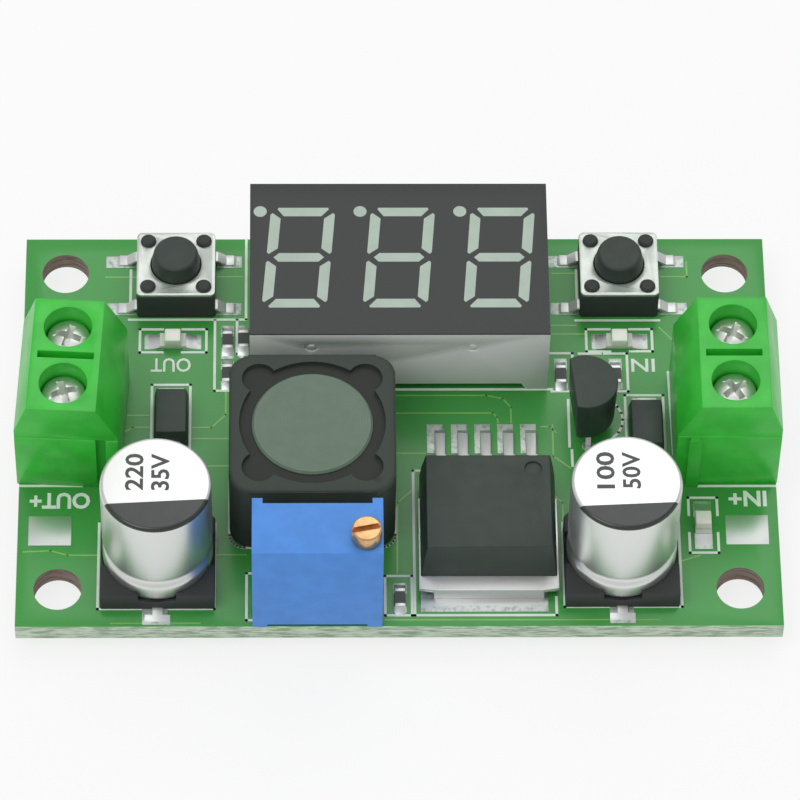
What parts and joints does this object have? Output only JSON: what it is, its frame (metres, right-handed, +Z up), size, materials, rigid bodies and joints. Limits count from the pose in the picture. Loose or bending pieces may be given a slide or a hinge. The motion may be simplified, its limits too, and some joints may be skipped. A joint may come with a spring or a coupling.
{
  "type": "buck converter module",
  "caption": "Rectangular circuit module that steps a voltage down, with a digit display, push switches, screw terminals, a power inductor, a trimmer and can capacitors.",
  "frame": {"origin": "centre of the pattern of four corner holes, on the underside of the circuit board", "axes": "+Z up, out of the component side; -Y towards the edge with the capacitors; output terminal at -X, input terminal at +X"},
  "size_m": [0.0572, 0.0354, 0.0145],
  "materials": {
    "solder_mask": "glossy green solder mask over glass-fibre laminate",
    "display_shell": "grey-white moulded plastic",
    "display_film": "dark grey printed face",
    "diffuser": "milky grey-green cast resin",
    "laminate": "inner circuit board",
    "tinned_metal": "tinned, bright",
    "solder": "bright solder",
    "black_moulding": "matt black moulding",
    "switch_cover": "satin steel sheet",
    "dome_metal": "spring metal",
    "switch_button": "matt dark grey moulding",
    "terminal_green": "bright green moulding",
    "zinc_screw": "bright zinc",
    "clamp_metal": "nickel-plated brass",
    "ferrite": "grey-green sintered ferrite, slightly rough",
    "ferrite_core": "ground grey-green ferrite",
    "copper_wire": "enamelled copper",
    "dark_glue": "dark epoxy",
    "trimmer_blue": "blue moulding",
    "brass_screw": "turned brass",
    "rotor_nylon": "nylon",
    "ceramic": "alumina plate",
    "epoxy_black": "matt black epoxy",
    "aluminium_can": "satin drawn aluminium",
    "chip_black": "glazed black",
    "lamp_white": "white ceramic",
    "lamp_lens": "clear resin, milky"
  },
  "bodies": {
    "root": {"circuit_board": "solder_mask", "display_case": "display_shell", "display_face": "display_film", "display_segments": "diffuser", "display_board": "laminate", "display_pins": "tinned_metal", "left_switch_base": "black_moulding", "left_switch_contacts": "tinned_metal", "left_switch_dome": "dome_metal", "left_switch_cover": "switch_cover", "right_switch_base": "black_moulding", "right_switch_contacts": "tinned_metal", "right_switch_dome": "dome_metal", "right_switch_cover": "switch_cover", "out_terminal_housing": "terminal_green", "out_terminal_contacts": "tinned_metal", "in_terminal_housing": "terminal_green", "in_terminal_contacts": "tinned_metal", "inductor_base": "black_moulding", "inductor_shield": "ferrite", "inductor_core": "ferrite_core", "inductor_winding": "copper_wire", "inductor_glue": "dark_glue", "inductor_clips": "tinned_metal", "trimmer_housing": "trimmer_blue", "trimmer_element": "ceramic", "trimmer_pins": "tinned_metal", "regulator_body": "epoxy_black", "regulator_tab": "tinned_metal", "regulator_leads": "tinned_metal", "out_capacitor_can": "aluminium_can", "out_capacitor_base": "black_moulding", "in_capacitor_can": "aluminium_can", "in_capacitor_base": "black_moulding", "capacitor_leads": "tinned_metal", "small_regulator_body": "epoxy_black", "small_regulator_leads": "tinned_metal", "diode_bodies": "epoxy_black", "diode_leads": "tinned_metal", "resistor_bodies": "chip_black", "resistor_ends": "tinned_metal", "led_bases": "lamp_white", "led_lenses": "lamp_lens", "controller_chip": "epoxy_black", "controller_leads": "tinned_metal", "solder_joints": "solder"},
    "out_plus_screw": {"out_plus_screw": "zinc_screw"},
    "out_plus_clamp": {"out_plus_clamp": "clamp_metal"},
    "out_minus_screw": {"out_minus_screw": "zinc_screw"},
    "out_minus_clamp": {"out_minus_clamp": "clamp_metal"},
    "in_plus_screw": {"in_plus_screw": "zinc_screw"},
    "in_plus_clamp": {"in_plus_clamp": "clamp_metal"},
    "in_minus_screw": {"in_minus_screw": "zinc_screw"},
    "in_minus_clamp": {"in_minus_clamp": "clamp_metal"},
    "left_button": {"left_switch_button": "switch_button"},
    "right_button": {"right_switch_button": "switch_button"},
    "trimmer_screw": {"trimmer_screw": "brass_screw"},
    "trimmer_rotor": {"trimmer_rotor": "rotor_nylon"}
  },
  "joints": [
    {"name": "out_plus_screw_turn", "type": "hinge", "parent": "root", "child": "out_plus_screw", "pos_m": [-0.02491, -0.00266, 0.00895], "axis": [0, 0, -1], "range_deg": [0, 1600]},
    {"name": "out_plus_clamp_lift", "type": "slide", "parent": "root", "child": "out_plus_clamp", "axis": [0, 0, 1], "range_m": [0, 0.002]},
    {"name": "out_minus_screw_turn", "type": "hinge", "parent": "root", "child": "out_minus_screw", "pos_m": [-0.02465, 0.00242, 0.00895], "axis": [0, 0, -1], "range_deg": [0, 1600]},
    {"name": "out_minus_clamp_lift", "type": "slide", "parent": "root", "child": "out_minus_clamp", "axis": [0, 0, 1], "range_m": [0, 0.002]},
    {"name": "in_plus_screw_turn", "type": "hinge", "parent": "root", "child": "in_plus_screw", "pos_m": [0.02496, -0.00249, 0.00895], "axis": [0, 0, -1], "range_deg": [0, 1600]},
    {"name": "in_plus_clamp_lift", "type": "slide", "parent": "root", "child": "in_plus_clamp", "axis": [0, 0, 1], "range_m": [0, 0.002]},
    {"name": "in_minus_screw_turn", "type": "hinge", "parent": "root", "child": "in_minus_screw", "pos_m": [0.02496, 0.00259, 0.00895], "axis": [0, 0, -1], "range_deg": [0, 1600]},
    {"name": "in_minus_clamp_lift", "type": "slide", "parent": "root", "child": "in_minus_clamp", "axis": [0, 0, 1], "range_m": [0, 0.002]},
    {"name": "left_button_press", "type": "slide", "parent": "root", "child": "left_button", "axis": [0, 0, -1], "range_m": [0, 0.00025], "stiffness_N_per_m": 6000, "deforming": ["left_switch_dome"]},
    {"name": "right_button_press", "type": "slide", "parent": "root", "child": "right_button", "axis": [0, 0, -1], "range_m": [0, 0.00025], "stiffness_N_per_m": 6000, "deforming": ["right_switch_dome"]},
    {"name": "trimmer_screw_turn", "type": "hinge", "parent": "root", "child": "trimmer_screw", "pos_m": [-0.00252, -0.0164, 0.0116], "axis": [0, 0, -1], "range_deg": [0, 9000]},
    {"name": "trimmer_rotor_turn", "type": "hinge", "parent": "root", "child": "trimmer_rotor", "pos_m": [-0.0061, -0.01533, 0.0067], "axis": [0, 1, 0], "range_deg": [0, 300]}
  ],
  "couplings": [
    {"joint": "out_plus_screw_turn", "follows": "out_plus_clamp_lift", "rad_per_m": 13963},
    {"joint": "out_minus_screw_turn", "follows": "out_minus_clamp_lift", "rad_per_m": 13963},
    {"joint": "in_plus_screw_turn", "follows": "in_plus_clamp_lift", "rad_per_m": 13963},
    {"joint": "in_minus_screw_turn", "follows": "in_minus_clamp_lift", "rad_per_m": 13963},
    {"joint": "trimmer_rotor_turn", "follows": "trimmer_screw_turn", "ratio": 0.033333}
  ]
}
